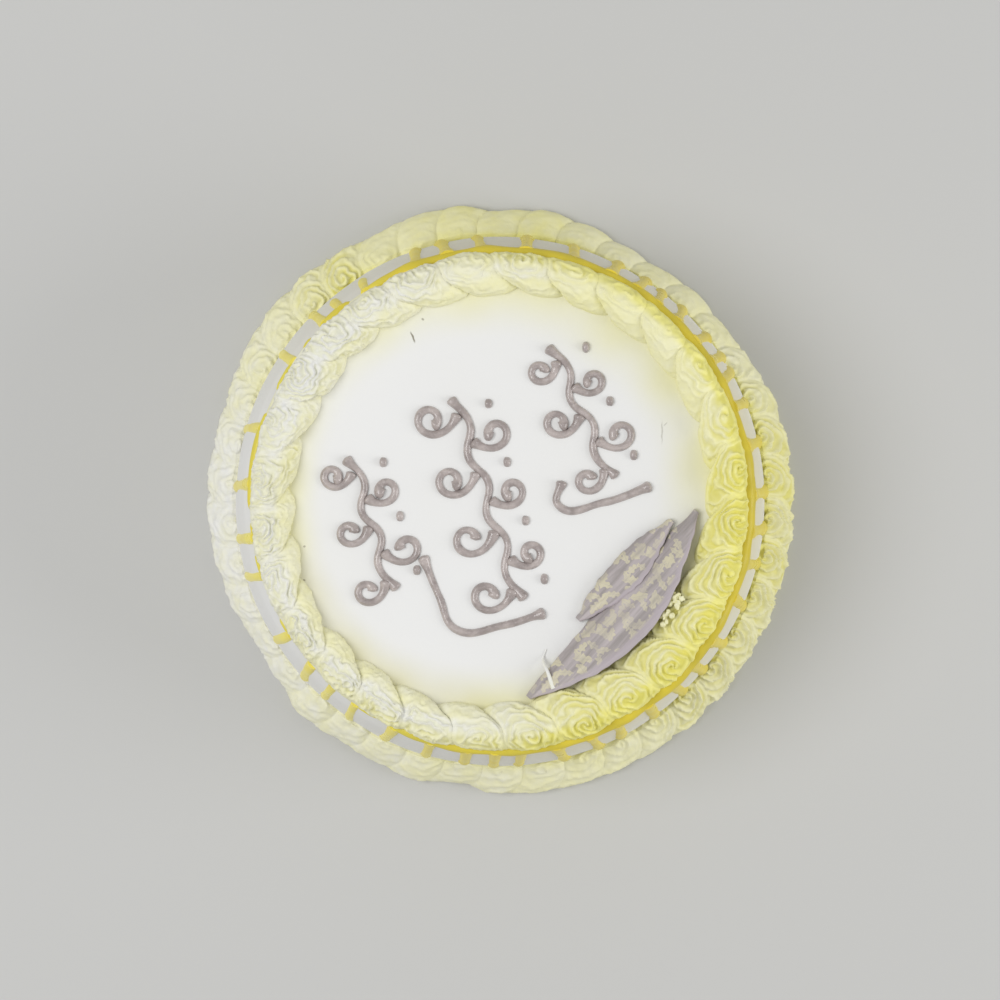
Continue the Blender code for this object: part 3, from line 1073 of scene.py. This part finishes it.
def crumbTree():
    tree = bpy.data.node_groups.new("crumbHeap", "GeometryNodeTree")
    sides = (
        ("Patch", "INPUT", "NodeSocketGeometry"), ("Density", "INPUT", "NodeSocketFloat"),
        ("Size", "INPUT", "NodeSocketFloat"), ("Seed", "INPUT", "NodeSocketInt"),
        ("Material", "INPUT", "NodeSocketMaterial"), ("Crumbs", "OUTPUT", "NodeSocketGeometry"),
    )
    for name, way, kind in sides:
        tree.interface.new_socket(name=name, in_out=way, socket_type=kind)
    work = Tree(tree)
    given = work.add("NodeGroupInput")

    def entry(name):
        return Wire(work, given.outputs[name])

    points = work.wire(
        "GeometryNodeDistributePointsOnFaces", None,
        {"Mesh": entry("Patch"), "Density": entry("Density"), "Seed": entry("Seed")},
    )
    ball = work.wire("GeometryNodeMeshIcoSphere", None, {"Radius": entry("Size"), "Subdivisions": 3})
    turn = work.wire(
        "FunctionNodeRandomValue", {"data_type": "FLOAT_VECTOR"},
        {"Min": (0.0, 0.0, 0.0), "Max": (6.28, 6.28, 6.28), "Seed": entry("Seed")},
    )
    grow = work.wire(
        "FunctionNodeRandomValue", {"data_type": "FLOAT_VECTOR"},
        {"Min": (0.45, 0.45, 0.4), "Max": (1.3, 1.0, 0.9), "Seed": entry("Seed") + 1.0},
    )
    heap = work.wire(
        "GeometryNodeInstanceOnPoints", None,
        {"Points": points, "Instance": ball, "Rotation": turn, "Scale": grow},
    )
    heap = work.wire("GeometryNodeRealizeInstances", None, {"Geometry": heap})
    position = work.wire("GeometryNodeInputPosition")
    lump = work.wire("ShaderNodeTexNoise", None, {"Vector": position, "Scale": 900.0, "Detail": 3.0}, "Fac")
    normal = work.wire("GeometryNodeInputNormal")
    push = work.wire(
        "ShaderNodeVectorMath", {"operation": "SCALE"}, {0: normal, "Scale": (lump - 0.5) * entry("Size") * 1.1},
    )
    heap = work.wire("GeometryNodeSetPosition", None, {"Geometry": heap, "Offset": push})
    heap = work.wire("GeometryNodeSetShadeSmooth", None, {"Geometry": heap})
    heap = work.wire("GeometryNodeSetMaterial", None, {"Geometry": heap, "Material": entry("Material")})
    work.add("NodeGroupOutput", None, {"Crumbs": heap})
    return tree


def creamCrumbs(material):
    spec = crumbs
    radius, degrees = spec["spot"]
    patch = bpy.data.meshes.new("crumbPatch")
    corners, steps = [], 8
    for row in range(steps + 1):
        for column in range(steps + 1):
            out = (row / steps - 0.5) * 2 * spec["spread"]
            side = (column / steps - 0.5) * 3.2 * spec["spread"]
            hump = spec["height"] * (1 - 0.5 * (1 - row / steps)) - abs(side) * 0.15
            corners.append(onCake(radius + out, math.radians(degrees) + side / radius, cakeTop + hump))
    faces = []
    for row in range(steps):
        for column in range(steps):
            corner = row * (steps + 1) + column
            faces.append((corner, corner + 1, corner + steps + 2, corner + steps + 1))
    patch.from_pydata(corners, [], faces)
    area = 4 * spec["spread"] ** 2 * 1.6
    source = bpy.data.objects.new("crumbPatch", patch)
    bpy.context.scene.collection.objects.link(source)
    modifier = source.modifiers.new("crumbs", "NODES")
    modifier.node_group = crumbTree()
    setInputs(modifier, {"Density": spec["count"] / area, "Size": spec["size"], "Seed": spec["seed"],
                         "Material": material})
    piece = bake(source, "creamCrumbs")
    count = len(piece.data.vertices)
    piece.data.attributes.new("tint", "FLOAT", "POINT").data.foreach_set("value", [0.5] * count)
    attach(piece, "root")
    return piece


# a wisp of cream over the tip of the large shard

def creamWisp(material):
    corners = ((0.0178, -0.0572), (0.0166, -0.0610), (0.0184, -0.0660), (0.0206, -0.0722))
    rows = []
    places = splinePath(corners, 0.0004)
    for k, place in enumerate(places):
        share = k / (len(places) - 1)
        size = 0.00025 + 0.0007 * share
        at = Vector((place.x + cakeCentre.x, place.y + cakeCentre.y, cakeTop + 0.0002 + 0.0046 * smoothStep(0.1, 0.6, share)))
        rows.append((at, size, 0.15))
    piece = pipe(
        "creamWisp", [(False, rows)],
        {"Points Around": 12, "Squash": 0.8, "Lumps": 0.4, "Lump Scale": 500.0}, material,
    )
    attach(piece, "root")
    return piece


pipedCream = pipedCreamFinish()
topSwirls(pipedCream)
print("top border piped")
footRosettes(pipedCream)
print("foot border piped")
creamCoat(coatFinish())
print("cream coat spread")
gelOnWall(yellowGelFinish())
brownVines(brownGelFinish())
print("gel piped")
chocolate = chocolateFinish()
chocolateShard("shardLarge", "large", chocolate)
chocolateShard("shardSlim", "slim", chocolate)
print("shards laid")
creamCrumbs(pipedCream)
creamWisp(pipedCream)
print("crumbs fallen")


# stage, light and camera

studio = {
    "distance": 2.0,
    "fieldAtTop": 0.400,     # width seen on the plane the cake stands on
    "keyPower": 18.0,
    "fillPower": 9.0,
    "ambient": 0.54,
}


def addStage():
    mesh = bpy.data.meshes.new("floor")
    reach = 4.0
    mesh.from_pydata([(-reach, -reach, 0), (reach, -reach, 0), (reach, reach, 0), (-reach, reach, 0)], [], [(0, 1, 2, 3)])
    floor = bpy.data.objects.new("floor", mesh)
    bpy.context.scene.collection.objects.link(floor)
    paper = bpy.data.materials.new("paleFloor")
    paper.use_nodes = True
    paper.node_tree.nodes["Principled BSDF"].inputs["Base Color"].default_value = rgb(196, 196, 194)
    paper.node_tree.nodes["Principled BSDF"].inputs["Roughness"].default_value = 0.9
    mesh.materials.append(paper)


def addLight(name, place, size, power, aim):
    data = bpy.data.lights.new(name, "AREA")
    data.shape = "DISK"
    data.size = size
    data.energy = power
    lamp = bpy.data.objects.new(name, data)
    lamp.location = place
    lamp.rotation_euler = (Vector(aim) - Vector(place)).to_track_quat("-Z", "Y").to_euler()
    bpy.context.scene.collection.objects.link(lamp)


def addStudio():
    addStage()
    addLight("softbox", (-1.1, 0.0, 1.7), 1.2, studio["keyPower"], (0, 0, 0.04))
    addLight("fill", (1.4, -0.2, 0.6), 1.0, studio["fillPower"], (0, 0, 0.02))
    world = bpy.context.scene.world or bpy.data.worlds.new("studio")
    bpy.context.scene.world = world
    world.use_nodes = True
    world.node_tree.nodes["Background"].inputs["Color"].default_value = (1.0, 1.0, 1.0, 1.0)
    world.node_tree.nodes["Background"].inputs["Strength"].default_value = studio["ambient"]
    data = bpy.data.cameras.new("camera")
    data.sensor_width = 36.0
    data.lens = 36.0 * studio["distance"] / studio["fieldAtTop"]
    camera = bpy.data.objects.new("camera", data)
    camera.location = (0.0, 0.0, studio["distance"])
    bpy.context.scene.collection.objects.link(camera)
    bpy.context.scene.camera = camera
    bpy.context.scene.view_settings.view_transform = "Standard"


addStudio()
print("studio lit")
